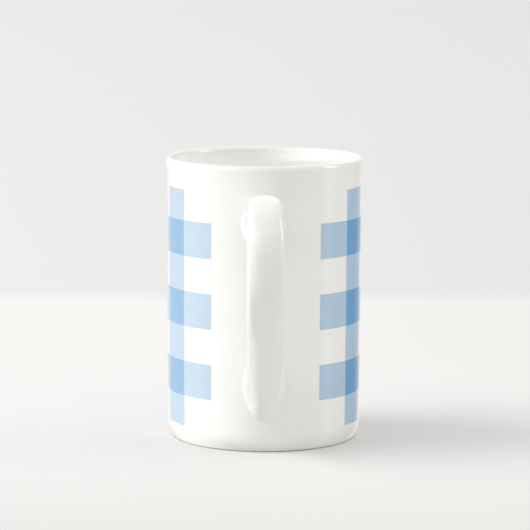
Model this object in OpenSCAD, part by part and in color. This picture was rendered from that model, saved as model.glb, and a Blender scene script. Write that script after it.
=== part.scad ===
// Tall bone-china mug with a strap handle and a gingham transfer print.
// The cup axis is Z, the foot stands on z = 0 and the handle points along -Y.
// All lengths are in millimetres and all angles are in degrees.

/* [Cup] */
// Height of the mug from the table to the top of the lip
cup_h = 107.7; // [100:0.1:115]
// Radius of the wall halfway up
wall_r = 37; // [34:0.1:40]
// How much the radius grows for each millimetre of height
wall_taper = 0.0035; // [0:0.0005:0.02]
// Wall thickness at the lip
lip_t = 2.3; // [2:0.1:3]
// Height of the rounding over the lip
lip_h = 1.7; // [1.1:0.1:2.5]
// Extra wall thickness at the bottom of the wall
wall_extra = 0.9; // [0:0.1:2]
// Height of the flared zone under the lip
flare_h = 10.3; // [6:0.1:14]
// How far the lip flares out beyond the straight wall
flare_out = 0.96; // [0:0.02:2]
// Height of the inside floor above the table
floor_z = 5; // [4:0.1:7]
// Radius of the corner between the inside floor and the wall
floor_corner = 7; // [4:0.5:10]

/* [Foot] */
// Height of the rounded tuck between the foot and the wall
tuck_h = 7; // [4:0.5:10]
// Radius of the arc that makes the tuck
tuck_r = 13; // [9:0.5:20]
// Radial width of the ring that stands on the table
foot_w = 2.6; // [1.8:0.1:4]
// Radius that softens the foot's outer edge
foot_edge = 0.45; // [0.2:0.05:0.8]
// Depth of the recess inside the foot ring
foot_recess = 1.6; // [1:0.1:2.4]

/* [Handle] */
// Reach of the handle beyond the wall
reach = 33.6; // [28:0.2:38]
// Half width of the strap
strap_w = 6.85; // [5.5:0.05:8]
// Height of the middle of the upper root
up_z = 86.6; // [80:0.2:90]
// Height of the widest part of the lower root
low_z = 27.8; // [24:0.2:34]
// Half width of the upper root where it meets the wall
up_root_w = 8.85; // [7.5:0.05:10]
// Half width of the lower root where it meets the wall
low_root_w = 8.4; // [7.2:0.05:10]
// How far the handle sits to one side of the middle
handle_shift = 0.05; // [0:0.05:1]
// How much further to that side the upper root sits
handle_lean = 0.5; // [0:0.05:1]

/* [Slip joints] */
// Thickness of the slip layer between the handle and the wall
slip_t = 0.4; // [0.2:0.05:0.8]
// Share of each root's flare that is wiped slip
slip_share = 0.4; // [0.2:0.02:0.5]

/* [Printed gingham] */
// Lower edge of the transfer
print_z0 = 7.3; // [7.2:0.1:12]
// Upper edge of the transfer
print_z1 = 97.35; // [90:0.05:97.4]
// Height of each horizontal stripe and of the gaps between them
check_h = 13.36; // [10:0.02:14]
// Angle between the handle's middle and the edge of the transfer
print_gap = 33.4; // [28:0.1:40]
// How far the transfer sits round from the handle's middle
print_turn = 0.6; // [-2:0.1:2]
// Number of vertical stripes round the mug
stripes = 6; // [4:1:8]
// Width of each vertical stripe
stripe_w = 13.36; // [10:0.02:14]
// Angle of bare china between each end of the transfer and its first vertical stripe
end_cell = 22.2; // [16:0.1:24]
// Thickness of the fired ink film
film_t = 0.08; // [0.05:0.01:0.15]

/* [Hidden] */
china = [0.95, 0.945, 0.93];
slip = [0.93, 0.925, 0.905];
pale_blue = [0.72, 0.83, 0.91];
deep_blue = [0.47, 0.66, 0.82];
lip_r = lip_t / 2;
lip_z = cup_h - lip_h;
flare_z = cup_h - flare_h;

// ---------------------------------------------------------------- cup shape
function cone_r(z) = wall_r + (z - cup_h / 2 - 1) * wall_taper;
function out_r(z) = cone_r(z)
    + (z > flare_z ? flare_out * pow((z - flare_z) / flare_h, 2) : 0)
    - (z < tuck_h ? tuck_r - sqrt(tuck_r * tuck_r - pow(tuck_h - z, 2)) : 0);
function wall_t(z) = lip_t + wall_extra * pow(1 - z / cup_h, 2);
function in_r(z) = out_r(z) - wall_t(z);

foot_r1 = out_r(foot_edge) - foot_edge * 0.9;
foot_r0 = foot_r1 - foot_w;
floor_top = floor_z + floor_corner;

cup_profile = concat(
    [[0, foot_recess], [foot_r0 - 1.6, foot_recess]],
    [for (a = [15:15:75]) [foot_r0 - 1.6 + 1.2 * sin(a), foot_recess - 1.2 * (1 - cos(a))]],
    [[foot_r0, 0.25], [foot_r0 + 0.3, 0], [foot_r1, 0]],
    [for (a = [15:15:75]) [foot_r1 + foot_edge * 0.9 * sin(a), foot_edge * (1 - cos(a))]],
    [for (i = [0:14]) let (z = foot_edge + (tuck_h - foot_edge) * i / 14) [out_r(z), z]],
    [[out_r(flare_z), flare_z]],
    [for (i = [1:12]) let (z = flare_z + (lip_z - flare_z) * i / 12) [out_r(z), z]],
    [for (a = [12:12:168]) [out_r(lip_z) - lip_r + lip_r * cos(a), lip_z + lip_h * sin(a)]],
    [for (i = [0:12]) let (z = lip_z - (lip_z - flare_z) * i / 12) [in_r(z) + (out_r(lip_z) - lip_t - in_r(lip_z)) * pow(1 - i / 12, 2), z]],
    [for (i = [1:10]) let (z = flare_z + (floor_top - flare_z) * i / 10) [in_r(z), z]],
    [for (a = [7.5:7.5:82.5]) [in_r(floor_top) - floor_corner * (1 - cos(a)), floor_top - floor_corner * sin(a)]],
    [[in_r(floor_top) - floor_corner, floor_z], [0, floor_z]]
);

// ------------------------------------------------------------- handle shape
// Strap profile: [share of the reach, height] for the outer and inner faces.
zs = (up_z - low_z) / 58.8;
function hz(k) = low_z + k * zs;
function hy(k) = -(wall_r + k * reach);
outer_face = [for (p = [[-0.015, 65.2], [0.184, 68.8], [0.440, 72.1], [0.729, 69.8],
    [0.940, 61.0], [1.021, 49.0], [0.970, 36.2], [0.780, 23.2], [0.521, 11.8],
    [0.292, 1.2], [0.104, -9.4]]) [hy(p[0]), hz(p[1])]];
inner_face = [for (p = [[-0.015, 54.8], [0.172, 59.8], [0.384, 64.4], [0.604, 64.0],
    [0.774, 57.8], [0.851, 48.4], [0.806, 37.6], [0.637, 26.1], [0.402, 16.4],
    [0.184, 8.8], [-0.012, 2.0]]) [hy(p[0]), hz(p[1])]];
half_width = [for (k = [1.03, 0.945, 0.905, 0.935, 0.98, 1.0, 1.0, 0.995, 0.985, 0.985, 1.0]) k * strap_w];
squareness = [2.1, 2.15, 2.25, 2.35, 2.45, 2.5, 2.5, 2.45, 2.35, 2.2, 2.1];

// Uniform cubic B-spline through a control list, t from 0 to 1.
function bsp(c, t) =
    let (n = len(c) - 3, s = min(max(t, 0), 1) * n, i = min(floor(s), n - 1), u = s - i)
    (pow(1 - u, 3) * c[i] + (3 * u * u * u - 6 * u * u + 4) * c[i + 1]
     + (-3 * u * u * u + 3 * u * u + 3 * u + 1) * c[i + 2] + u * u * u * c[i + 3]) / 6;
function spow(v, e) = sign(v) * pow(abs(v), e);
function unit(v) = v / norm(v);
function mix(a, b, k) = a + (b - a) * k;

// The handle leans a little to one side, most at its upper root.
function side_at(t) = -handle_shift - handle_lean * pow(1 - t, 3);
// Point on the strap at station t and section angle a (90 is the outer face).
function strap_pt(t, a) =
    let (o = bsp(outer_face, t), i = bsp(inner_face, t), w = bsp(half_width, t),
         e = 2 / bsp(squareness, t), c = (o + i) / 2, h = (o - i) / 2, s = spow(sin(a), e))
    [side_at(t) + w * spow(cos(a), e), c[0] + h[0] * s, c[1] + h[1] * s];
// Point on the wall at side offset x and height z, off millimetres proud of it.
function wall_pt(x, z, off = 0) = let (r = out_r(z) + off) [x, -sqrt(r * r - x * x), z];

// Root outlines on the wall: [middle height, reach up, reach down, half width].
root = [[up_z - 0.7, 8.4, 12.2, up_root_w], [low_z, 8.6, 16.3, low_root_w]];
// Length of the fillet foot on the wall, and how long the flare keeps the
// strap's direction: [at the sides, at the outer face, at the inner face].
foot_len = [[1.8, 2.0, 3.6], [1.7, 1.1, 2.6]];
lead_len = [[3.8, 2.4, 3.4], [4.0, 6.5, 2.6]];
slip_len = [[1, 1, 1], [1, 0.45, 1]];
function by_side(v, a) = let (s = sin(a)) mix(v[0], s > 0 ? v[1] : v[2], s * s);
function pad_pt(e, a, cut = 0, off = 0) =
    let (p = root[e], s = sin(a), up = e == 0 ? s : -s)
    wall_pt(side_at(e) + (p[3] - cut) * cos(a), p[0] + up * ((up > 0 ? p[1] : p[2]) - cut), off);
// Point on the flare of root e at angle a; u runs from the wall to the strap.
function flare_pt(e, a, u) =
    let (t = e == 0 ? 0 : 1, d = e == 0 ? 0.001 : -0.001,
         p0 = pad_pt(e, a), p1 = pad_pt(e, a, by_side(foot_len[e], a)),
         p3 = strap_pt(t, a), dir = unit(p3 - strap_pt(t + d, a)),
         p2 = p3 + dir * by_side(lead_len[e], a), v = 1 - u)
    v * v * v * p0 + 3 * u * v * v * p1 + 3 * u * u * v * p2 + u * u * u * p3;
function slip_u(e, a) = slip_share * by_side(slip_len[e], a);
// Foot of the handle itself, which stops one slip layer short of the wall.
function core_pt(e, a, k) =
    let (f = flare_pt(e, a, slip_u(e, a)), x0 = side_at(e), z = root[e][0] + (f[2] - root[e][0]) * 0.94 * k)
    wall_pt(x0 + (f[0] - x0) * 0.94 * k, z, slip_t);

sides = 40;
angles = [for (i = [0:sides - 1]) i * 360 / sides];
slip_rings = 5;
flare_rings = 7;
strap_rings = 52;
function core_rings(e) = [for (k = [0.35, 0.7, 1]) [for (a = angles) core_pt(e, a, k)]];
function flare_set(e) = [for (k = [0:flare_rings - 1])
    [for (a = angles) flare_pt(e, a, mix(slip_u(e, a), 1, k / flare_rings))]];
function backwards(v) = [for (i = [len(v) - 1:-1:0]) v[i]];

// Closed solid through a list of rings, with a point closing each end.
module skin(rings, first, last, flip) {
    n = len(rings[0]);
    m = len(rings);
    pts = concat([first], [for (r = rings) for (p = r) p], [last]);
    function at(j, i) = 1 + j * n + i % n;
    fwd = concat(
        [for (i = [0:n - 1]) [0, at(0, i), at(0, i + 1)]],
        [for (j = [0:m - 2]) for (i = [0:n - 1]) each [
            [at(j, i), at(j + 1, i + 1), at(j, i + 1)],
            [at(j, i), at(j + 1, i), at(j + 1, i + 1)]]],
        [for (i = [0:n - 1]) [1 + m * n, at(m - 1, i + 1), at(m - 1, i)]]);
    polyhedron(points = pts, faces = flip ? [for (f = fwd) [f[0], f[2], f[1]]] : fwd, convexity = 8);
}

// ------------------------------------------------------------------- pieces
module body() {
    color(china) rotate_extrude($fn = 160) polygon(cup_profile);
}

module handle() {
    rings = concat(
        core_rings(0), flare_set(0),
        [for (k = [0:strap_rings]) [for (a = angles) strap_pt(k / strap_rings, a)]],
        backwards(flare_set(1)), backwards(core_rings(1)));
    color(china) skin(rings, core_pt(0, 0, 0), core_pt(1, 0, 0), false);
}

// Slip layer under one root with the fillet wiped round it.
module slip_joint(e) {
    rings = concat(
        core_rings(e),
        [for (k = [slip_rings:-1:0]) [for (a = angles) flare_pt(e, a, slip_u(e, a) * k / slip_rings)]],
        [for (k = [0.8, 0.6, 0.4, 0.2]) [for (a = angles)
            let (p = pad_pt(e, a), x0 = side_at(e)) wall_pt(x0 + (p[0] - x0) * k, root[e][0] + (p[2] - root[e][0]) * k)]]);
    color(slip) skin(rings, core_pt(e, 0, 0), wall_pt(side_at(e), root[e][0]), e == 0);
}
module upper_slip_joint() slip_joint(0);
module lower_slip_joint() slip_joint(1);

// One patch of ink film between two heights and two angles from the transfer's edge.
module film(z0, z1, a0, a1) {
    rotate_extrude(angle = a1 - a0, start = 270 + print_gap + print_turn + a0, $fn = 160)
        polygon([[out_r(z0), z0], [out_r(z0) + film_t, z0], [out_r(z1) + film_t, z1], [out_r(z1), z1]]);
}
stripe_a = stripe_w / wall_r * 180 / PI;
print_a = 360 - 2 * print_gap;
gap_a = (print_a - 2 * end_cell - stripes * stripe_a) / (stripes - 1);
function stripe_at(j) = end_cell + j * (stripe_a + gap_a);
end_gap = (print_z1 - print_z0 - 5 * check_h) / 2;
function row_z(k) = print_z0 + end_gap + 2 * k * check_h;
// Horizontal stripes where they cross bare china.
module print_rows() {
    color(pale_blue) for (k = [0:2]) for (j = [0:stripes])
        film(row_z(k), row_z(k) + check_h,
             j == 0 ? 0 : stripe_at(j - 1) + stripe_a, j == stripes ? print_a : stripe_at(j));
}
// Vertical stripes where they cross bare china.
module print_columns() {
    color(pale_blue) for (j = [0:stripes - 1]) for (k = [0:3])
        film(k == 0 ? print_z0 : row_z(k - 1) + check_h, k == 3 ? print_z1 : row_z(k),
             stripe_at(j), stripe_at(j) + stripe_a);
}
// Darker squares where both sets of stripes overlap.
module print_crossings() {
    color(deep_blue) for (j = [0:stripes - 1]) for (k = [0:2])
        film(row_z(k), row_z(k) + check_h, stripe_at(j), stripe_at(j) + stripe_a);
}

body();
handle();
upper_slip_joint();
lower_slip_joint();
print_rows();
print_columns();
print_crossings();
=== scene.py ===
"""Looks for the tall bone-china mug: glazed body, strap handle, slip joints and the gingham transfer."""
import math

import bpy
import numpy as np
from mathutils import Matrix, Vector


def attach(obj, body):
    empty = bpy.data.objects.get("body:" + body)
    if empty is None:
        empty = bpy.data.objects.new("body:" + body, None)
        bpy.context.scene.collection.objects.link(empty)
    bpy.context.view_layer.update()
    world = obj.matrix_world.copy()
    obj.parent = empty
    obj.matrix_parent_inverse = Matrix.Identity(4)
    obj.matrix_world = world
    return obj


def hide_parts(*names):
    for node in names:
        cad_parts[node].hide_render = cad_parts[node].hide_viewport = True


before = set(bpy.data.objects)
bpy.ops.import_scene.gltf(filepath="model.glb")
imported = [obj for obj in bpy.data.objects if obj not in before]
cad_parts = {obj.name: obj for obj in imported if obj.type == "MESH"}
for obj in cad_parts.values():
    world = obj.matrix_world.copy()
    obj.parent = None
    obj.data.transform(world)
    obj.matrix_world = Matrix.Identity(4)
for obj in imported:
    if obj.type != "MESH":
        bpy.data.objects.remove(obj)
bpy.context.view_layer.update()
scene = bpy.context.scene
MM = 0.001

# ------------------------------------------------------------------ sizes, in millimetres as in the CAD source
CUP_H, WALL_R, WALL_TAPER = 107.7, 37.0, 0.0035
LIP_T, LIP_H, WALL_EXTRA = 2.3, 1.7, 0.9
FLARE_H, FLARE_OUT = 10.3, 0.96
FLOOR_Z, FLOOR_CORNER = 5.0, 7.0
TUCK_H, TUCK_R = 7.0, 13.0
FOOT_W, FOOT_EDGE, FOOT_RECESS = 2.6, 0.45, 1.6
REACH, STRAP_W, UP_Z, LOW_Z = 33.6, 6.85, 86.6, 27.8
UP_ROOT_W, LOW_ROOT_W = 8.85, 8.4
HANDLE_SHIFT, HANDLE_LEAN = 0.05, 0.5
SLIP_T, SLIP_SHARE = 0.4, 0.4
PRINT_Z0, PRINT_Z1, CHECK_H = 7.3, 97.35, 13.36
PRINT_GAP, PRINT_TURN, STRIPES, FILM_T = 33.4, 0.6, 6, 0.08
STRIPE_W, END_CELL = 13.36, 22.2
LIP_R = LIP_T / 2
LIP_Z = CUP_H - LIP_H
FLARE_Z = CUP_H - FLARE_H
SEGMENTS = 320


def out_r(z):
    """Radius of the outside of the cup at height z."""
    z = np.asarray(z, float)
    r = WALL_R + (z - CUP_H / 2 - 1) * WALL_TAPER
    r = r + np.where(z > FLARE_Z, FLARE_OUT * ((z - FLARE_Z) / FLARE_H) ** 2, 0)
    h = np.clip(TUCK_H - z, 0, TUCK_H)
    return r - (TUCK_R - np.sqrt(TUCK_R**2 - h**2))


def in_r(z):
    """Radius of the inside of the cup at height z."""
    return out_r(z) - (LIP_T + WALL_EXTRA * (1 - np.asarray(z, float) / CUP_H) ** 2)


# ------------------------------------------------------------------ mesh helpers
def make_mesh(name, points, faces, normals=None, smooth=None, slots=None):
    """An object from points in millimetres. normals holds one unit vector per face corner."""
    mesh = bpy.data.meshes.new(name)
    mesh.from_pydata([tuple(p) for p in np.asarray(points, float) * MM], [], faces)
    mesh.update()
    if smooth is None:
        mesh.polygons.foreach_set("use_smooth", [True] * len(mesh.polygons))
    else:
        mesh.polygons.foreach_set("use_smooth", list(smooth))
    if slots is not None:
        mesh.polygons.foreach_set("material_index", list(slots))
    if normals is not None:
        mesh.normals_split_custom_set([tuple(n) for n in normals])
    obj = bpy.data.objects.new(name, mesh)
    scene.collection.objects.link(obj)
    return obj


def unit(v):
    return v / np.maximum(np.linalg.norm(v, axis=-1, keepdims=True), 1e-12)


def face_normal(points, face):
    p = points[list(face)]
    n = np.zeros(3)
    for i in range(len(p)):
        a, b = p[i], p[(i + 1) % len(p)]
        n += np.cross(a, b)
    length = np.linalg.norm(n)
    return n / length if length > 1e-14 else np.array([0.0, 0.0, 1.0])


# ------------------------------------------------------------------ cup body
def cup_profile():
    """(radius, height, slot) from the axis under the cup, round the foot, wall and lip, to the axis inside. Slot 1 is bare clay and slot 2 the inside of the cup."""
    foot_r1 = float(out_r(FOOT_EDGE)) - FOOT_EDGE * 0.9
    foot_r0 = foot_r1 - FOOT_W
    floor_top = FLOOR_Z + FLOOR_CORNER
    p = [(r, FOOT_RECESS, 0) for r in (0.0, 3.0, 7.0, 11.0, 15.0, 19.0, 23.0, 26.0, foot_r0 - 2.2)]
    p += [(foot_r0 - 1.6 + 1.2 * math.sin(math.radians(a)), FOOT_RECESS - 1.2 * (1 - math.cos(math.radians(a))), 0)
          for a in np.linspace(0, 78, 12)]
    p += [(foot_r0 - 0.30, 0.62, 0), (foot_r0 - 0.12, 0.40, 0), (foot_r0, 0.25, 1)]
    p += [(foot_r0 + 0.09, 0.13, 1), (foot_r0 + 0.19, 0.045, 1), (foot_r0 + 0.3, 0.0, 1)]
    p += [(r, 0.0, 1) for r in np.linspace(foot_r0 + 0.42, foot_r1 - 0.12, 7)]
    p += [(foot_r1, 0.0, 1)]
    for a in np.linspace(9, 81, 9):
        r = foot_r1 + FOOT_EDGE * 0.9 * math.sin(math.radians(a))
        z = FOOT_EDGE * (1 - math.cos(math.radians(a)))
        p.append((r, z, 1))
    p += [(float(out_r(z)), z, 0) for z in np.linspace(FOOT_EDGE, TUCK_H, 26)]
    p += [(float(out_r(z)), z, 0) for z in np.linspace(TUCK_H, FLARE_Z, 26)[1:]]
    p += [(float(out_r(z)), z, 0) for z in np.linspace(FLARE_Z, LIP_Z, 20)[1:]]
    lip_out = float(out_r(LIP_Z))
    p += [(lip_out - LIP_R + LIP_R * math.cos(math.radians(a)), LIP_Z + LIP_H * math.sin(math.radians(a)), 0)
          for a in np.linspace(0, 180, 34)[1:]]
    for z in np.linspace(LIP_Z, FLARE_Z, 20)[1:]:
        k = (LIP_Z - z) / (LIP_Z - FLARE_Z)
        r = float(in_r(z)) + (lip_out - LIP_T - float(in_r(LIP_Z))) * (1 - k) ** 2
        p.append((r, z, 2))
    p += [(float(in_r(z)), z, 2) for z in np.linspace(FLARE_Z, floor_top, 24)[1:]]
    corner_r = float(in_r(floor_top))
    p += [(corner_r - FLOOR_CORNER * (1 - math.cos(math.radians(a))), floor_top - FLOOR_CORNER * math.sin(math.radians(a)), 2)
          for a in np.linspace(0, 90, 22)[1:]]
    r_in = corner_r - FLOOR_CORNER
    p += [(r, FLOOR_Z, 2) for r in (r_in - 1.2, r_in - 4, r_in - 8, r_in - 13, r_in - 18, 5.0, 0.0)]
    return p


def lathe(name, profile):
    """A closed turned solid. The profile starts and ends on the axis, and walks so that the outside is on its right."""
    n = SEGMENTS
    ring = profile[1:-1]
    angle = np.arange(n) * 2 * math.pi / n
    points = [(0, 0, profile[0][1])]
    for r, z, _ in ring:
        points += [(r * math.cos(a), r * math.sin(a), z) for a in angle]
    points.append((0, 0, profile[-1][1]))
    m = len(ring)
    at = lambda j, i: 1 + j * n + i % n
    faces = [(0, at(0, i + 1), at(0, i)) for i in range(n)]
    slots = [0] * n
    for j in range(m - 1):
        for i in range(n):
            faces.append((at(j, i), at(j, i + 1), at(j + 1, i + 1), at(j + 1, i)))
            slots.append(min(ring[j][2], ring[j + 1][2]))
    faces += [(1 + m * n, at(m - 1, i), at(m - 1, i + 1)) for i in range(n)]
    slots += [profile[-1][2]] * n
    return make_mesh(name, points, faces, slots=slots)


# ------------------------------------------------------------------ handle, the same curves as in the CAD source
OUTER = np.array([[-0.015, 65.2], [0.184, 68.8], [0.440, 72.1], [0.729, 69.8], [0.940, 61.0], [1.021, 49.0],
                  [0.970, 36.2], [0.780, 23.2], [0.521, 11.8], [0.292, 1.2], [0.104, -9.4]])
INNER = np.array([[-0.015, 54.8], [0.172, 59.8], [0.384, 64.4], [0.604, 64.0], [0.774, 57.8], [0.851, 48.4],
                  [0.806, 37.6], [0.637, 26.1], [0.402, 16.4], [0.184, 8.8], [-0.012, 2.0]])
ZS = (UP_Z - LOW_Z) / 58.8
OUT_FACE = np.stack([-(WALL_R + OUTER[:, 0] * REACH), LOW_Z + OUTER[:, 1] * ZS], 1)
IN_FACE = np.stack([-(WALL_R + INNER[:, 0] * REACH), LOW_Z + INNER[:, 1] * ZS], 1)
HALF_W = np.array([1.03, 0.945, 0.905, 0.935, 0.98, 1.0, 1.0, 0.995, 0.985, 0.985, 1.0]) * STRAP_W
SQUARE = np.array([2.1, 2.15, 2.25, 2.35, 2.45, 2.5, 2.5, 2.45, 2.35, 2.2, 2.1])
ROOT = [(UP_Z - 0.7, 8.4, 12.2, UP_ROOT_W), (LOW_Z, 8.6, 16.3, LOW_ROOT_W)]
FOOT_LEN = [(1.8, 2.0, 3.6), (1.7, 1.1, 2.6)]
LEAD_LEN = [(3.8, 2.4, 3.4), (4.0, 6.5, 2.6)]
SLIP_LEN = [(1, 1, 1), (1, 0.45, 1)]


def bspline(control, t):
    n = len(control) - 3
    s = np.clip(np.asarray(t, float), 0, 1) * n
    i = np.minimum(s.astype(int), n - 1)
    u = s - i
    b = ((1 - u) ** 3 / 6, (3 * u**3 - 6 * u**2 + 4) / 6, (-3 * u**3 + 3 * u**2 + 3 * u + 1) / 6, u**3 / 6)
    if control.ndim == 1:
        return sum(b[k] * control[i + k] for k in range(4))
    return sum(b[k][..., None] * control[i + k] for k in range(4))


def signed_power(v, e):
    return np.sign(v) * np.abs(v) ** e


def side_at(t):
    """The handle leans a little to one side, most at its upper root."""
    return -HANDLE_SHIFT - HANDLE_LEAN * (1 - t) ** 3


def strap(t, a):
    t, a = np.broadcast_arrays(np.asarray(t, float), np.asarray(a, float))
    o, i = bspline(OUT_FACE, t), bspline(IN_FACE, t)
    w, e = bspline(HALF_W, t), 2 / bspline(SQUARE, t)
    c, h = (o + i) / 2, (o - i) / 2
    s = signed_power(np.sin(a), e)
    return np.stack([side_at(t) + w * signed_power(np.cos(a), e), c[..., 0] + h[..., 0] * s, c[..., 1] + h[..., 1] * s], -1)


def on_wall(x, z, off=0.0):
    r = out_r(z) + off
    return np.stack([x, -np.sqrt(r * r - x * x), z + 0 * x], -1)


def by_side(v, a):
    s = np.sin(a)
    return v[0] + (np.where(s > 0, v[1], v[2]) - v[0]) * s * s


def pad(e, a, cut=0.0, off=0.0):
    middle, reach_up, reach_down, half = ROOT[e]
    s = np.sin(a)
    up = s if e == 0 else -s
    return on_wall(side_at(e) + (half - cut) * np.cos(a), middle + up * (np.where(up > 0, reach_up, reach_down) - cut), off)


def flare(e, a, u):
    """Surface between root e's outline on the wall, u = 0, and the end of the strap, u = 1."""
    a, u = np.broadcast_arrays(np.asarray(a, float), np.asarray(u, float))
    t, d = (0.0, 1e-3) if e == 0 else (1.0, -1e-3)
    p0 = pad(e, a, 0.0, -0.03)
    p1 = pad(e, a, by_side(FOOT_LEN[e], a))
    p3 = strap(t, a)
    p2 = p3 + unit(p3 - strap(t + d, a)) * by_side(LEAD_LEN[e], a)[..., None]
    u = u[..., None]
    v = 1 - u
    return v**3 * p0 + 3 * u * v * v * p1 + 3 * u * u * v * p2 + u**3 * p3


def slip_end(e, a):
    return SLIP_SHARE * by_side(SLIP_LEN[e], a)


def core(e, a, k):
    """Hidden foot of the handle, one slip layer off the wall."""
    f = flare(e, a, slip_end(e, a))
    return on_wall(side_at(e) + (f[..., 0] - side_at(e)) * 0.94 * k, ROOT[e][0] + (f[..., 2] - ROOT[e][0]) * 0.94 * k, SLIP_T)


def even_angles(count):
    """Angles that space points evenly round a mid-handle section."""
    a = np.linspace(0, 2 * math.pi, 20001)
    x, y = 7.0 * signed_power(np.cos(a), 2 / 2.4), 3.1 * signed_power(np.sin(a), 2 / 2.4)
    s = np.concatenate([[0], np.cumsum(np.hypot(np.diff(x), np.diff(y)))])
    plain = a / (2 * math.pi)
    s = 0.8 * s / s[-1] + 0.2 * plain
    return np.interp(np.arange(count) / count, s, a)


SIDES = 144
ANGLES = even_angles(SIDES)
SLIP_RINGS, FLARE_RINGS, STRAP_RINGS = 22, 22, 270


def handle_pieces():
    rings, mark = [], []
    for k in range(SLIP_RINGS):
        rings.append(flare(0, ANGLES, slip_end(0, ANGLES) * k / SLIP_RINGS))
    mark.append(len(rings))
    for k in range(FLARE_RINGS):
        u = slip_end(0, ANGLES)
        rings.append(flare(0, ANGLES, u + (1 - u) * k / FLARE_RINGS))
    for k in range(STRAP_RINGS + 1):
        rings.append(strap(k / STRAP_RINGS, ANGLES))
    for k in range(FLARE_RINGS - 1, -1, -1):
        u = slip_end(1, ANGLES)
        rings.append(flare(1, ANGLES, u + (1 - u) * k / FLARE_RINGS))
    mark.append(len(rings) - 1)
    for k in range(SLIP_RINGS - 1, -1, -1):
        rings.append(flare(1, ANGLES, slip_end(1, ANGLES) * k / SLIP_RINGS))
    grid = np.array(rings)
    along = np.empty_like(grid)
    along[1:-1] = grid[2:] - grid[:-2]
    along[0], along[-1] = grid[1] - grid[0], grid[-1] - grid[-2]
    round_ = np.roll(grid, -1, 1) - np.roll(grid, 1, 1)
    normal = unit(np.cross(round_, along))
    middle = grid.mean(1, keepdims=True)
    j = len(grid) // 2
    if np.sum(normal[j] * (grid[j] - middle[j])) < 0:
        normal = -normal
    # The first and last rings lie along the wall, so they take its direction.
    for j in (0, -1):
        normal[j] = unit(grid[j] * np.array([1, 1, 0.0]))
    return grid, normal, mark


def skin(name, shown, shown_n, before, after, first, last):
    """A closed piece: hidden rings, the shown grid with its normals, hidden rings, and a point closing each end."""
    n = SIDES
    rings = list(before) + list(shown) + list(after)
    lo, hi = len(before), len(before) + len(shown) - 1
    points = np.concatenate([[first]] + rings + [[last]])
    at = lambda j, i: 1 + j * n + i % n
    m = len(rings)
    faces, seen = [], []
    for i in range(n):
        faces.append((0, at(0, i), at(0, i + 1)))
        seen.append(False)
    for j in range(m - 1):
        for i in range(n):
            faces.append((at(j, i), at(j + 1, i), at(j + 1, i + 1), at(j, i + 1)))
            seen.append(lo <= j and j + 1 <= hi)
    for i in range(n):
        faces.append((1 + m * n, at(m - 1, i + 1), at(m - 1, i)))
        seen.append(False)
    # Turned the right way out, judged on the shown faces.
    test = 0.0
    for f, s in zip(faces[:: max(1, len(faces) // 997)], seen[:: max(1, len(faces) // 997)]):
        if s:
            j, i = divmod(f[0] - 1, n)
            test += float(face_normal(points, f) @ shown_n[j - lo][i])
    if test < 0:
        faces = [tuple(reversed(f)) for f in faces]
    normals = []
    for f, s in zip(faces, seen):
        if s:
            for v in f:
                j, i = divmod(v - 1, n)
                normals.append(shown_n[j - lo][i])
        else:
            normals += [face_normal(points, f)] * len(f)
    return make_mesh(name, points, faces, normals=normals)


def build_handle():
    grid, normal, (a, b) = handle_pieces()
    cores = [[core(e, ANGLES, k) for k in (0.35, 0.7, 1.0)] for e in (0, 1)]
    centre = [core(e, np.array(0.0), 0.0) for e in (0, 1)]
    handle = skin("strap_handle", grid[a:b + 1], normal[a:b + 1], cores[0], cores[1][::-1], centre[0], centre[1])

    def base(e):
        p = pad(e, ANGLES, 0.0, -0.03)
        return [on_wall(side_at(e) + (p[:, 0] - side_at(e)) * k, ROOT[e][0] + (p[:, 2] - ROOT[e][0]) * k, -0.03) for k in (0.8, 0.6, 0.4, 0.2)]

    def wall_mid(e):
        return on_wall(np.array(side_at(e)), np.array(float(ROOT[e][0])), -0.03)

    upper = skin("upper_slip", grid[a::-1], normal[a::-1], cores[0], base(0), centre[0], wall_mid(0))
    lower = skin("lower_slip", grid[b:], normal[b:], cores[1], base(1), centre[1], wall_mid(1))
    return handle, upper, lower


# ------------------------------------------------------------------ printed film
STRIPE_A = math.degrees(STRIPE_W / WALL_R)
PRINT_A = 360 - 2 * PRINT_GAP
GAP_A = (PRINT_A - 2 * END_CELL - STRIPES * STRIPE_A) / (STRIPES - 1)
END_GAP = (PRINT_Z1 - PRINT_Z0 - 5 * CHECK_H) / 2


def row_z(k):
    return PRINT_Z0 + END_GAP + 2 * k * CHECK_H


def stripe_at(j):
    return END_CELL + j * (STRIPE_A + GAP_A)


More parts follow.
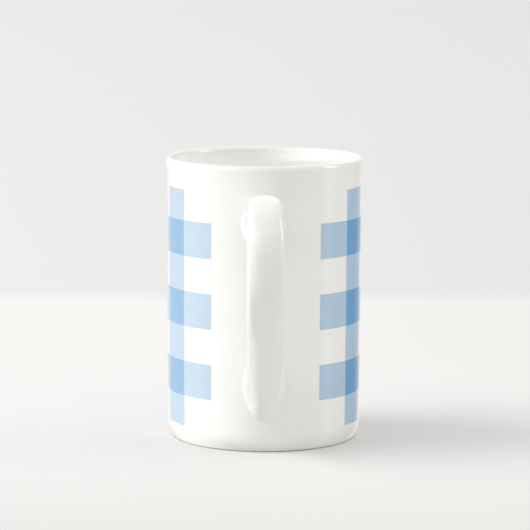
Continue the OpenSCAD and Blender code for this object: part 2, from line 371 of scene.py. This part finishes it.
def film(name, patches, across=24, up=5):
    """Thin closed slabs of fired ink, one for each (z0, z1, a0, a1). Their backs are sunk just under the glaze."""
    points, faces, normals = [], [], []
    slope = WALL_TAPER
    for z0, z1, a0, a1 in patches:
        start = len(points)
        angle = np.radians(270 + PRINT_GAP + PRINT_TURN + np.linspace(a0, a1, across + 1))
        height = np.linspace(z0, z1, up + 1)
        for off in (FILM_T, -0.02):
            for z in height:
                r = float(out_r(z)) + off
                points += [(r * math.cos(q), r * math.sin(q), z) for q in angle]
        w = across + 1
        layer = w * (up + 1)
        at = lambda l, j, i: start + l * layer + j * w + i
        radial = [unit(np.array([math.cos(q), math.sin(q), -slope])) for q in angle]
        for j in range(up):
            for i in range(across):
                faces.append((at(0, j, i), at(0, j, i + 1), at(0, j + 1, i + 1), at(0, j + 1, i)))
                normals += [radial[i], radial[i + 1], radial[i + 1], radial[i]]
                faces.append((at(1, j, i), at(1, j + 1, i), at(1, j + 1, i + 1), at(1, j, i + 1)))
                normals += [-radial[i], -radial[i], -radial[i + 1], -radial[i + 1]]
        for i in range(across):
            faces.append((at(0, 0, i + 1), at(0, 0, i), at(1, 0, i), at(1, 0, i + 1)))
            normals += [(0, 0, -1)] * 4
            faces.append((at(0, up, i), at(0, up, i + 1), at(1, up, i + 1), at(1, up, i)))
            normals += [(0, 0, 1)] * 4
        for j in range(up):
            side = np.array([math.sin(angle[0]), -math.cos(angle[0]), 0])
            faces.append((at(0, j, 0), at(0, j + 1, 0), at(1, j + 1, 0), at(1, j, 0)))
            normals += [side] * 4
            side = np.array([-math.sin(angle[-1]), math.cos(angle[-1]), 0])
            faces.append((at(0, j + 1, across), at(0, j, across), at(1, j, across), at(1, j + 1, across)))
            normals += [side] * 4
    return make_mesh(name, points, faces, normals=normals)


# ------------------------------------------------------------------ materials
class Nodes:
    """Short spelling for a material's node tree."""

    def __init__(self, name):
        self.material = bpy.data.materials.new(name)
        self.material.use_nodes = True
        self.tree = self.material.node_tree
        self.tree.nodes.clear()
        self.out = self.add("ShaderNodeOutputMaterial")
        self.bsdf = self.add("ShaderNodeBsdfPrincipled")
        self.link(self.bsdf.outputs["BSDF"], self.out.inputs["Surface"])
        self.place = self.add("ShaderNodeTexCoord").outputs["Object"]

    def add(self, kind, **settings):
        node = self.tree.nodes.new(kind)
        for key, value in settings.items():
            setattr(node, key, value)
        return node

    def link(self, a, b):
        self.tree.links.new(a, b)

    def noise(self, size, detail=2.0, rough=0.5, offset=(0, 0, 0)):
        """Noise whose features are about size metres across, from 0 to 1."""
        at = self.place
        if any(offset):
            move = self.add("ShaderNodeVectorMath", operation="ADD")
            move.inputs[1].default_value = offset
            self.link(at, move.inputs[0])
            at = move.outputs[0]
        n = self.add("ShaderNodeTexNoise")
        n.inputs["Scale"].default_value = 1 / size
        n.inputs["Detail"].default_value = detail
        n.inputs["Roughness"].default_value = rough
        self.link(at, n.inputs["Vector"])
        return n.outputs[0]

    def spots(self, size, radius, offset=(0, 0, 0)):
        """1 in small round spots, at most one in each cell of that size, and 0 between them."""
        move = self.add("ShaderNodeVectorMath", operation="ADD")
        move.inputs[1].default_value = offset
        self.link(self.place, move.inputs[0])
        v = self.add("ShaderNodeTexVoronoi")
        v.inputs["Scale"].default_value = 1 / size
        v.inputs["Randomness"].default_value = 1.0
        self.link(move.outputs[0], v.inputs["Vector"])
        return self.ramp(v.outputs["Distance"], radius * 0.4 / size, radius / size, 1.0, 0.0)

    def ramp(self, value, a, b, to_a, to_b):
        n = self.add("ShaderNodeMapRange")
        n.clamp = True
        for key, v in (("From Min", a), ("From Max", b), ("To Min", to_a), ("To Max", to_b)):
            n.inputs[key].default_value = v
        self.link(value, n.inputs["Value"])
        return n.outputs["Result"]

    def math(self, operation, a, b=None):
        n = self.add("ShaderNodeMath", operation=operation)
        for i, v in enumerate((a, b)):
            if v is None:
                continue
            if isinstance(v, (int, float)):
                n.inputs[i].default_value = v
            else:
                self.link(v, n.inputs[i])
        return n.outputs[0]

    def mix(self, factor, a, b):
        n = self.add("ShaderNodeMix", data_type="RGBA")
        if isinstance(factor, (int, float)):
            n.inputs[0].default_value = factor
        else:
            self.link(factor, n.inputs[0])
        for i, v in ((6, a), (7, b)):
            if isinstance(v, (tuple, list)):
                n.inputs[i].default_value = (*v, 1.0)
            else:
                self.link(v, n.inputs[i])
        return n.outputs[2]

    def bump(self, height, distance, before=None):
        n = self.add("ShaderNodeBump")
        n.inputs["Strength"].default_value = 1.0
        n.inputs["Distance"].default_value = distance
        self.link(height, n.inputs["Height"])
        if before is not None:
            self.link(before, n.inputs["Normal"])
        return n.outputs["Normal"]

    def height_above(self):
        split = self.add("ShaderNodeSeparateXYZ")
        self.link(self.place, split.inputs[0])
        return split.outputs


def shade(c, k):
    return tuple(min(1.0, x * k) for x in c)


CHINA = (0.938, 0.934, 0.919)
PALE = (0.456, 0.609, 0.766)
DEEP = (0.160, 0.385, 0.652)


def glaze_surface(n, roughness=0.10, wave=1.0):
    """The clear glaze that covers everything but the foot: a slow waviness, fine orange peel and a few pinholes."""
    b = n.bsdf
    b.inputs["IOR"].default_value = 1.5
    b.inputs["Coat Weight"].default_value = 0.3
    b.inputs["Coat Roughness"].default_value = 0.035
    b.inputs["Coat IOR"].default_value = 1.5
    slow = n.noise(0.011, 1.0, 0.4, (0.3, 0.1, 0.7))
    fine = n.noise(0.0011, 2.0, 0.5)
    pits = n.spots(0.006, 0.00016, (0.05, 0.02, 0.01))
    normal = n.bump(slow, 0.000035 * wave)
    normal = n.bump(fine, 0.0000016 * wave, normal)
    pits = n.math("MULTIPLY", pits, -1.0)
    normal = n.bump(pits, 0.00002, normal)
    n.link(normal, b.inputs["Normal"])
    n.link(n.ramp(n.noise(0.007, 3.0, 0.6, (0.9, 0.4, 0.2)), 0.3, 0.7, roughness * 0.8, roughness * 1.25), b.inputs["Roughness"])


def china_material(name, tint=CHINA, lip_shade=0.0):
    n = Nodes(name)
    cloud = n.ramp(n.noise(0.016, 2.0, 0.5), 0.35, 0.65, 0.0, 1.0)
    colour = n.mix(cloud, shade(tint, 0.988), shade(tint, 1.006))
    warm = n.ramp(n.noise(0.034, 1.0, 0.5, (0.2, 0.8, 0.5)), 0.35, 0.7, 0.0, 0.35)
    colour = n.mix(warm, colour, (tint[0] * 1.0, tint[1] * 0.992, tint[2] * 0.972))
    fine = n.ramp(n.noise(0.0007, 2.0, 0.6), 0.25, 0.75, 0.0, 0.22)
    colour = n.mix(fine, colour, shade(tint, 0.965))
    # Painted shade: the top of the lip is darkened a little towards creamy grey, to tone down the light falling on it
    # from above.
    lip = n.ramp(n.height_above()[2], 0.1064, 0.1074, 0.0, lip_shade)
    colour = n.mix(lip, colour, (0.80, 0.785, 0.755))
    specks = n.math("MULTIPLY", n.spots(0.013, 0.00017, (0.4, 0.9, 0.3)), 0.42)
    colour = n.mix(specks, colour, (0.52, 0.46, 0.38))
    n.link(colour, n.bsdf.inputs["Base Color"])
    glaze_surface(n)
    return n.material


def bisque_material():
    """Bare fired clay on the foot: dry, slightly creamy and finely gritty."""
    n = Nodes("bare_fired_clay")
    cloud = n.ramp(n.noise(0.004, 3.0, 0.6), 0.3, 0.7, 0.0, 1.0)
    colour = n.mix(cloud, (0.80, 0.765, 0.70), (0.86, 0.835, 0.785))
    grit = n.ramp(n.noise(0.00035, 2.0, 0.7), 0.35, 0.75, 0.0, 0.5)
    colour = n.mix(grit, colour, (0.66, 0.61, 0.53))
    # A thin painted contact shadow along the bottom of the foot, just above the table.
    contact_shadow_line = n.ramp(n.height_above()[2], 0.00002, 0.00009, 0.0, 0.8)
    colour = n.mix(contact_shadow_line, colour, (0.36, 0.34, 0.31))
    n.link(colour, n.bsdf.inputs["Base Color"])
    n.link(n.ramp(n.noise(0.002, 2.0, 0.5), 0.3, 0.7, 0.62, 0.85), n.bsdf.inputs["Roughness"])
    n.bsdf.inputs["IOR"].default_value = 1.45
    n.link(n.bump(n.noise(0.0003, 3.0, 0.6), 0.000035), n.bsdf.inputs["Normal"])
    return n.material


def ink_material(name, ink, thin):
    """Fired transfer ink under the glaze: slightly cloudy, with the fine stipple of a screened print."""
    n = Nodes(name)
    cloud = n.ramp(n.noise(0.009, 2.0, 0.5, (0.6, 0.2, 0.9)), 0.3, 0.7, 0.0, 1.0)
    colour = n.mix(cloud, shade(ink, 0.972), shade(ink, 1.028))
    dots = n.add("ShaderNodeTexVoronoi")
    dots.inputs["Scale"].default_value = 1 / 0.00042
    dots.inputs["Randomness"].default_value = 0.75
    n.link(n.place, dots.inputs["Vector"])
    stipple = n.ramp(dots.outputs["Distance"], 0.25, 0.75, 0.0, 0.17)
    colour = n.mix(stipple, colour, thin)
    grain = n.ramp(n.noise(0.0009, 3.0, 0.65, (0.1, 0.7, 0.3)), 0.35, 0.75, 0.0, 0.13)
    colour = n.mix(grain, colour, shade(ink, 0.86))
    n.link(colour, n.bsdf.inputs["Base Color"])
    glaze_surface(n, roughness=0.115, wave=1.05)
    return n.material


# ------------------------------------------------------------------ build
# The body's glaze has painted shade along the top of the lip.
china = china_material("bone_china_glaze", lip_shade=0.5)
# The inside's glaze is a lighter copy of the china: painted light inside the cup.
inside = china_material("inside_glaze_painted_light", (0.966, 0.962, 0.948))
slip_glaze = china_material("slip_under_glaze", (0.918, 0.912, 0.896))
# The handle's glaze is a darker copy of the china: painted shade on the handle.
handle_shaded_glaze = china_material("handle_china_glaze_painted_shade", (0.905, 0.901, 0.885))
bisque = bisque_material()
pale = ink_material("pale_blue_ink", PALE, (0.56, 0.70, 0.84))
pale_up = ink_material("pale_blue_ink_upright", PALE, (0.56, 0.70, 0.84))
deep = ink_material("deep_blue_ink", DEEP, (0.21, 0.44, 0.70))

body = lathe("cup_body", cup_profile())
body.data.materials.append(china)
body.data.materials.append(bisque)
body.data.materials.append(inside)
handle, upper, lower = build_handle()
handle.data.materials.append(handle_shaded_glaze)
for o in (upper, lower):
    o.data.materials.append(slip_glaze)
rows = film("stripes_across", [(row_z(k), row_z(k) + CHECK_H, 0 if j == 0 else stripe_at(j - 1) + STRIPE_A,
                                PRINT_A if j == STRIPES else stripe_at(j)) for k in range(3) for j in range(STRIPES + 1)])
columns = film("stripes_upright", [(PRINT_Z0 if k == 0 else row_z(k - 1) + CHECK_H, PRINT_Z1 if k == 3 else row_z(k),
                                    stripe_at(j), stripe_at(j) + STRIPE_A) for j in range(STRIPES) for k in range(4)])
crossings = film("stripe_crossings", [(row_z(k), row_z(k) + CHECK_H, stripe_at(j), stripe_at(j) + STRIPE_A)
                                      for j in range(STRIPES) for k in range(3)])
rows.data.materials.append(pale)
columns.data.materials.append(pale_up)
crossings.data.materials.append(deep)

for piece, node, slot in ((body, "body", "china"), (handle, "handle", "china"),
                          (upper, "upper_slip_joint", "slip"), (lower, "lower_slip_joint", "slip"),
                          (rows, "print_rows", "pale_blue_ink"), (columns, "print_columns", "pale_blue_ink"),
                          (crossings, "print_crossings", "deep_blue_ink")):
    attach(piece, "root")
    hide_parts(node)

# ------------------------------------------------------------------ camera
TURN = math.radians(-0.6)
DIST, HEIGHT, PITCH, YAW, ROLL = 1.0600, 0.2186086, 0.143204, -0.0003, 0.004812
right = np.array([math.cos(YAW), math.sin(YAW), 0.0])
forward = np.array([-math.sin(YAW) * math.cos(PITCH), math.cos(YAW) * math.cos(PITCH), -math.sin(PITCH)])
up = np.cross(right, forward)
right, up = (math.cos(ROLL) * right + math.sin(ROLL) * up, math.cos(ROLL) * up - math.sin(ROLL) * right)
spin = np.array([[math.cos(TURN), -math.sin(TURN), 0], [math.sin(TURN), math.cos(TURN), 0], [0, 0, 1]])
right, up, forward = spin @ right, spin @ up, spin @ forward
place = spin @ np.array([0, -DIST, HEIGHT])
camera = bpy.data.objects.new("camera", bpy.data.cameras.new("camera"))
scene.collection.objects.link(camera)
camera.data.lens = 189.59
camera.data.sensor_width = 36.0
camera.data.clip_start, camera.data.clip_end = 0.05, 60
camera.data.dof.use_dof = False
camera.matrix_world = Matrix(((right[0], up[0], -forward[0], place[0]),
                              (right[1], up[1], -forward[1], place[1]),
                              (right[2], up[2], -forward[2], place[2]),
                              (0, 0, 0, 1)))
scene.camera = camera

# ------------------------------------------------------------------ floor
floor_mesh = bpy.data.meshes.new("floor")
ring_n = 128
circle = [(9 * math.cos(2 * math.pi * i / ring_n), 9 * math.sin(2 * math.pi * i / ring_n), 0) for i in range(ring_n)]
floor_mesh.from_pydata(circle, [], [tuple(range(ring_n))])
floor = bpy.data.objects.new("floor", floor_mesh)
scene.collection.objects.link(floor)
n = Nodes("pale_floor")
axes = n.height_above()
square = n.math("POWER", n.math("ADD", n.math("POWER", n.math("ABSOLUTE", axes[0]), 6.0),
                                n.math("POWER", n.math("ABSOLUTE", axes[1]), 6.0)), 1 / 6)
far = n.add("ShaderNodeMapRange", interpolation_type="SMOOTHSTEP")
for key, v in (("From Min", 0.322), ("From Max", 0.366), ("To Min", 0.0), ("To Max", 1.0)):
    far.inputs[key].default_value = v
n.link(square, far.inputs["Value"])
tone = n.ramp(n.noise(0.12, 2.0, 0.5), 0.3, 0.7, 0.0, 1.0)
near_colour = n.mix(tone, (0.750, 0.747, 0.738), (0.766, 0.763, 0.754))
# Painted shade: the floor is darkened on the right and towards the front, where less light falls.
near_colour = n.mix(n.ramp(axes[0], -0.05, 0.11, 0.0, 0.5), near_colour, (0.692, 0.689, 0.681))
near_colour = n.mix(n.ramp(axes[1], -0.07, -0.17, 0.0, 0.6), near_colour, (0.640, 0.638, 0.631))
# Painted shade: the pale backdrop beyond it darkens slightly to the right and with distance, where less light falls.
aside = n.math("DIVIDE", axes[0], n.math("MAXIMUM", n.math("ADD", axes[1], 1.06), 0.3))
back_colour = n.mix(n.ramp(aside, -0.09, 0.09, 0.0, 1.0), (0.700, 0.701, 0.704), (0.659, 0.660, 0.664))
back_colour = n.mix(n.ramp(axes[1], 0.4, 3.6, 0.0, 0.22), back_colour, (0.577, 0.578, 0.581))
n.link(n.mix(far.outputs["Result"], near_colour, back_colour), n.bsdf.inputs["Base Color"])
n.bsdf.inputs["Roughness"].default_value = 0.9
n.bsdf.inputs["Specular IOR Level"].default_value = 0.0
floor.data.materials.append(n.material)
floor.visible_glossy = False

# ------------------------------------------------------------------ light
world = bpy.data.worlds.new("studio")
scene.world = world
world.use_nodes = True
t = world.node_tree
t.nodes.clear()


def wmath(operation, a, b=0.0, c=None):
    m = t.nodes.new("ShaderNodeMath")
    m.operation = operation
    for i, v in enumerate((a, b, c)):
        if v is None:
            continue
        if isinstance(v, (int, float)):
            m.inputs[i].default_value = v
        else:
            t.links.new(v, m.inputs[i])
    return m.outputs[0]


def wstep(value, a, b, to_a=0.0, to_b=1.0):
    m = t.nodes.new("ShaderNodeMapRange")
    m.interpolation_type = "SMOOTHSTEP"
    for key, v in (("From Min", a), ("From Max", b), ("To Min", to_a), ("To Max", to_b)):
        m.inputs[key].default_value = v
    t.links.new(value, m.inputs["Value"])
    return m.outputs["Result"]


direction = t.nodes.new("ShaderNodeTexCoord").outputs["Generated"]
split = t.nodes.new("ShaderNodeSeparateXYZ")
t.links.new(direction, split.inputs[0])
dx, dy, dz = split.outputs
# Azimuth in degrees from the front, positive to the right, and elevation in degrees.
azimuth = wmath("MULTIPLY", wmath("ARCTAN2", dx, wmath("MULTIPLY", dy, -1.0)), 180 / math.pi)
elevation = wmath("MULTIPLY", wmath("ARCSINE", dz), 180 / math.pi)


def curve(value, low, high, points, top):
    """A smooth curve through (value, result) points, for value from low to high and results from 0 to top."""
    c = t.nodes.new("ShaderNodeFloatCurve")
    line = c.mapping.curves[0]
    for i, (x, y) in enumerate(points):
        x, y = (x - low) / (high - low), y / top
        if i < 2:
            line.points[i].location = (x, y)
        else:
            line.points.new(x, y)
    c.mapping.update()
    t.links.new(wstep_linear(value, low, high), c.inputs["Value"])
    return wmath("MULTIPLY", c.outputs["Value"], top)


def wstep_linear(value, a, b):
    m = t.nodes.new("ShaderNodeMapRange")
    m.inputs["From Min"].default_value = a
    m.inputs["From Max"].default_value = b
    t.links.new(value, m.inputs["Value"])
    return m.outputs["Result"]


def window(a0, a1, soft_a, e0, e1, soft_e):
    """1 inside a band of azimuth and elevation, with soft edges."""
    side = wmath("MULTIPLY", wstep(azimuth, a0 - soft_a, a0 + soft_a), wstep(azimuth, a1 - soft_a, a1 + soft_a, 1.0, 0.0))
    tall = wmath("MULTIPLY", wstep(elevation, e0 - soft_e, e0 + soft_e), wstep(elevation, e1 - soft_e, e1 + soft_e, 1.0, 0.0))
    return wmath("MULTIPLY", side, tall)


# What the gloss mirrors: a broad soft window on the left that fades towards the front and the floor, a pale room, and a slim window on the right.
around = curve(azimuth, -180, 180, [(-180, 0.84), (-156, 1.0), (-138, 1.45), (-125, 1.95), (-101, 3.3), (-85, 4.0), (-72, 4.1), (-50, 3.7),
                                    (-30, 3.0), (-8, 1.15), (8, 0.4), (30, 0.32), (60, 0.32), (90, 0.42), (115, 0.26), (135, 0.26), (152, 0.65), (168, 0.84), (180, 0.84)], 6.0)
level = wmath("MULTIPLY", wstep(elevation, 30, 60, 1.0, 0.0), wstep(elevation, -55, -20, 0.0, 1.0))
above = wmath("MULTIPLY", wstep(elevation, 6, 40, 0.0, 1.0), wmath("ADD", 0.5, wmath("MULTIPLY", dx, -0.4)))
low_left = wmath("MULTIPLY", wstep(azimuth, -100, -48, 1.0, 0.0), wstep(azimuth, -165, -125, 0.0, 1.0))
below = wmath("MULTIPLY", wstep(elevation, -55, -20, 1.0, 0.0), wmath("ADD", 0.35, wmath("MULTIPLY", low_left, 2.1)))
mirror = wmath("ADD", wmath("MULTIPLY", around, level), wmath("ADD", above, below))
mirror = wmath("ADD", mirror, wmath("MULTIPLY", window(80, 95, 2.5, 12, 40, 4), 5.0))
mirror = wmath("ADD", mirror, wmath("MULTIPLY", window(74, 87, 3.5, -70, 17, 6), 0.45))
# What lights the surfaces: mostly from above, a little more from the right and the back, where the window light does not reach.
ambient = wmath("ADD", 0.463, wmath("MULTIPLY", wmath("MULTIPLY", dx, 0.37), wstep(elevation, 25, 60, 1.0, 0.4)))
ambient = wmath("ADD", ambient, wmath("MULTIPLY", dy, 0.12))
ambient = wmath("ADD", ambient, wmath("MULTIPLY", wmath("MAXIMUM", dz, 0.0), 0.59))
ambient = wmath("ADD", ambient, wmath("MULTIPLY", window(-140, -82, 18, -5, 45, 15), 0.32))
ambient = wmath("ADD", ambient, wmath("MULTIPLY", window(78, 140, 18, -5, 45, 15), 0.3))
ambient = wmath("MAXIMUM", ambient, 0.02)

path = t.nodes.new("ShaderNodeLightPath")


def background(strength, colour):
    b = t.nodes.new("ShaderNodeBackground")
    b.inputs["Color"].default_value = (*colour, 1)
    if isinstance(strength, (int, float)):
        b.inputs["Strength"].default_value = strength
    else:
        t.links.new(strength, b.inputs["Strength"])
    return b.outputs[0]


def choose(factor, a, b):
    m = t.nodes.new("ShaderNodeMixShader")
    t.links.new(factor, m.inputs[0])
    t.links.new(a, m.inputs[1])
    t.links.new(b, m.inputs[2])
    return m.outputs[0]


light = choose(path.outputs["Is Glossy Ray"], background(ambient, (1.0, 0.995, 0.98)), background(mirror, (1, 1, 1)))
light = choose(path.outputs["Is Camera Ray"], light, background(0.835, (1, 1, 1)))
end = t.nodes.new("ShaderNodeOutputWorld")
t.links.new(light, end.inputs["Surface"])



def window_light(name, azimuth_deg, elevation_deg, strength, width):
    """Soft daylight from one direction, azimuth in degrees from the front and positive to the right."""
    lamp = bpy.data.objects.new(name, bpy.data.lights.new(name, "SUN"))
    scene.collection.objects.link(lamp)
    lamp.data.energy = strength
    lamp.data.angle = math.radians(width)
    az, el = math.radians(azimuth_deg), math.radians(elevation_deg)
    toward = Vector((math.sin(az) * math.cos(el), -math.cos(az) * math.cos(el), math.sin(el)))
    lamp.rotation_euler = toward.to_track_quat("Z", "Y").to_euler()
    lamp.visible_glossy = False


window_light("window_light_left", -90, 44, 1.20, 33)
window_light("window_light_front_left", -58, 46, 0.26, 30)

# A white cup is lit by light that bounces many times inside it.
scene.cycles.max_bounces = 16
scene.cycles.diffuse_bounces = 12
scene.cycles.glossy_bounces = 6

scene.view_settings.view_transform = "Standard"
scene.view_settings.look = "None"
scene.view_settings.exposure = 0.0
scene.view_settings.gamma = 1.0

# ------------------------------------------------------------------ update
bpy.context.view_layer.update()
